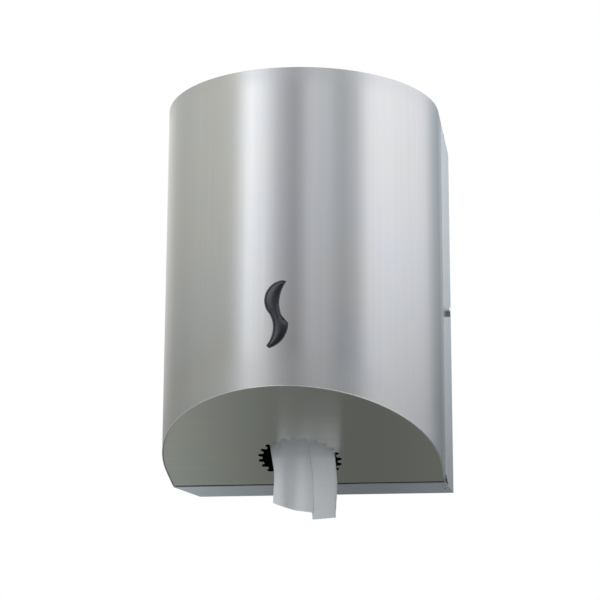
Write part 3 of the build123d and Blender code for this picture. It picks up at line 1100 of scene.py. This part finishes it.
# %% [markdown]
# ## Spot welds
# The hinge leaves and the frame's folded corners are spot welded from inside. Each weld leaves a small
# shallow dish with a raised ring on the outside. Rings of points give the shape, as on a lathe.

# %% Spot welds
# Distance from the weld's middle and height above the sheet, in millimetres.
dish_profile = ((0.0, 0.03), (0.7, 0.04), (1.15, 0.14), (1.5, 0.12), (1.9, -0.05))
dish_steps = 16


def spot_welds(name, body, places):
    """Small dishes on the sheet. Each place is a point and the way that the sheet faces there."""
    points, faces = [], []
    for spot, out in places:
        start = len(points)
        out = Vector(out)
        across = out.orthogonal().normalized()
        beside = out.cross(across)
        points.append(Vector(spot) + out * dish_profile[0][1] * mm)
        for reach, height in dish_profile[1:]:
            for number in range(dish_steps):
                angle = math.tau * number / dish_steps
                shift = across * math.cos(angle) + beside * math.sin(angle)
                points.append(Vector(spot) + (out * height + shift * reach) * mm)
        for number in range(dish_steps):
            faces.append((start, start + 1 + number, start + 1 + (number + 1) % dish_steps))
        for face in join_rows(len(dish_profile) - 1, dish_steps):
            faces.append(tuple(start + 1 + corner for corner in reversed(face)))
        faces.append(tuple(range(len(points) - dish_steps, len(points)))[::-1])
    return new_piece(name, body, burnt_steel, "satin_steel", points, faces)


seam = 0.0015
frame_front = skin_rear + seam
leaf_weld_reach = 0.016
leaf_weld_rises = (-0.022, 0.0, 0.022)
bottom_weld_x = 0.1199
bottom_weld_depths = (0.026, 0.054)
top_weld = (front_radius, skin_rear + 0.034, 0.1675)
down = (0, 0, -1)
frame_places = [((bottom_weld_x, frame_front + depth, skin_bottom), down) for depth in bottom_weld_depths]
cover_places = []
for hinge in ("lower", "upper"):
    leaf_low, leaf_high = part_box(f"{hinge}_frame_leaf")
    for rise in leaf_weld_rises:
        height = (leaf_low[2] + leaf_high[2]) / 2 + rise
        frame_places.append(((-front_radius, frame_front + leaf_weld_reach, height), (-1, 0, 0)))
        cover_places.append(((-front_radius, skin_rear - leaf_weld_reach, height), (-1, 0, 0)))
frame_places.append((top_weld, (1, 0, 0)))
spot_welds("frame_spot_welds", "frame", frame_places)
spot_welds("cover_spot_welds", "cover", cover_places)

# %% [markdown]
# ## Corner plugs of painted shade
# Each side wall of the frame has a three-cornered relief above the bottom fold, so that the sheet can be
# bent. A soft black plug closes it, and its black is painted shade: it stands in for the shade inside the
# relief. The plug is a flange that lies against the wall inside, and a face that fills the relief. Both are
# flat outlines given a thickness.

# %% Plugs
sheet = 0.001
inside_floor = skin_bottom + sheet
wall_inside = front_radius - sheet
flange_thickness = 0.0011
overlap = 0.0001
bevel_width = 0.00015
# The right face stands a little proud of the wall, and the left one lies a little behind it.
plug_proud = {"right": 0.0003, "left": -0.0002}
# Outlines as distances behind the frame's front edge and above its bottom wall, in millimetres.
plug_flange = ((0.25, 0.1), (32.5, 0.1), (32.5, 1.4), (0.25, 9.0))
plug_face = ((0.25, 0.25), (27.5, 0.25), (0.25, 6.6))


def slab(outline, inner, outer):
    """A flat outline in the side wall's plane with a thickness between two distances from the middle."""
    count = len(outline)
    points = []
    for x in (inner, outer):
        points += [(x, frame_front + back * mm, inside_floor + rise * mm) for back, rise in outline]
    faces = [tuple(range(count)), tuple(range(count, 2 * count))[::-1]]
    return points, faces + join_rows(2, count)


for side, way in (("right", 1), ("left", -1)):
    wall_outside = front_radius + plug_proud[side]
    points, faces = slab(plug_flange, way * (wall_inside - flange_thickness), way * wall_inside)
    more_points, more_faces = slab(plug_face, way * (wall_inside - overlap), way * wall_outside)
    faces += [tuple(corner + len(points) for corner in face) for face in more_faces]
    points += more_points
    # The plug's black face is painted shade, for the shade inside the relief.
    plug = new_piece(f"painted_shade_plug_{side}", "frame", rubber, "gasket_rubber", points, faces, smooth=False)
    face_outwards(plug, touching)
    soft = plug.modifiers.new("soft edges", "BEVEL")
    soft.width = bevel_width
    soft.segments = 2
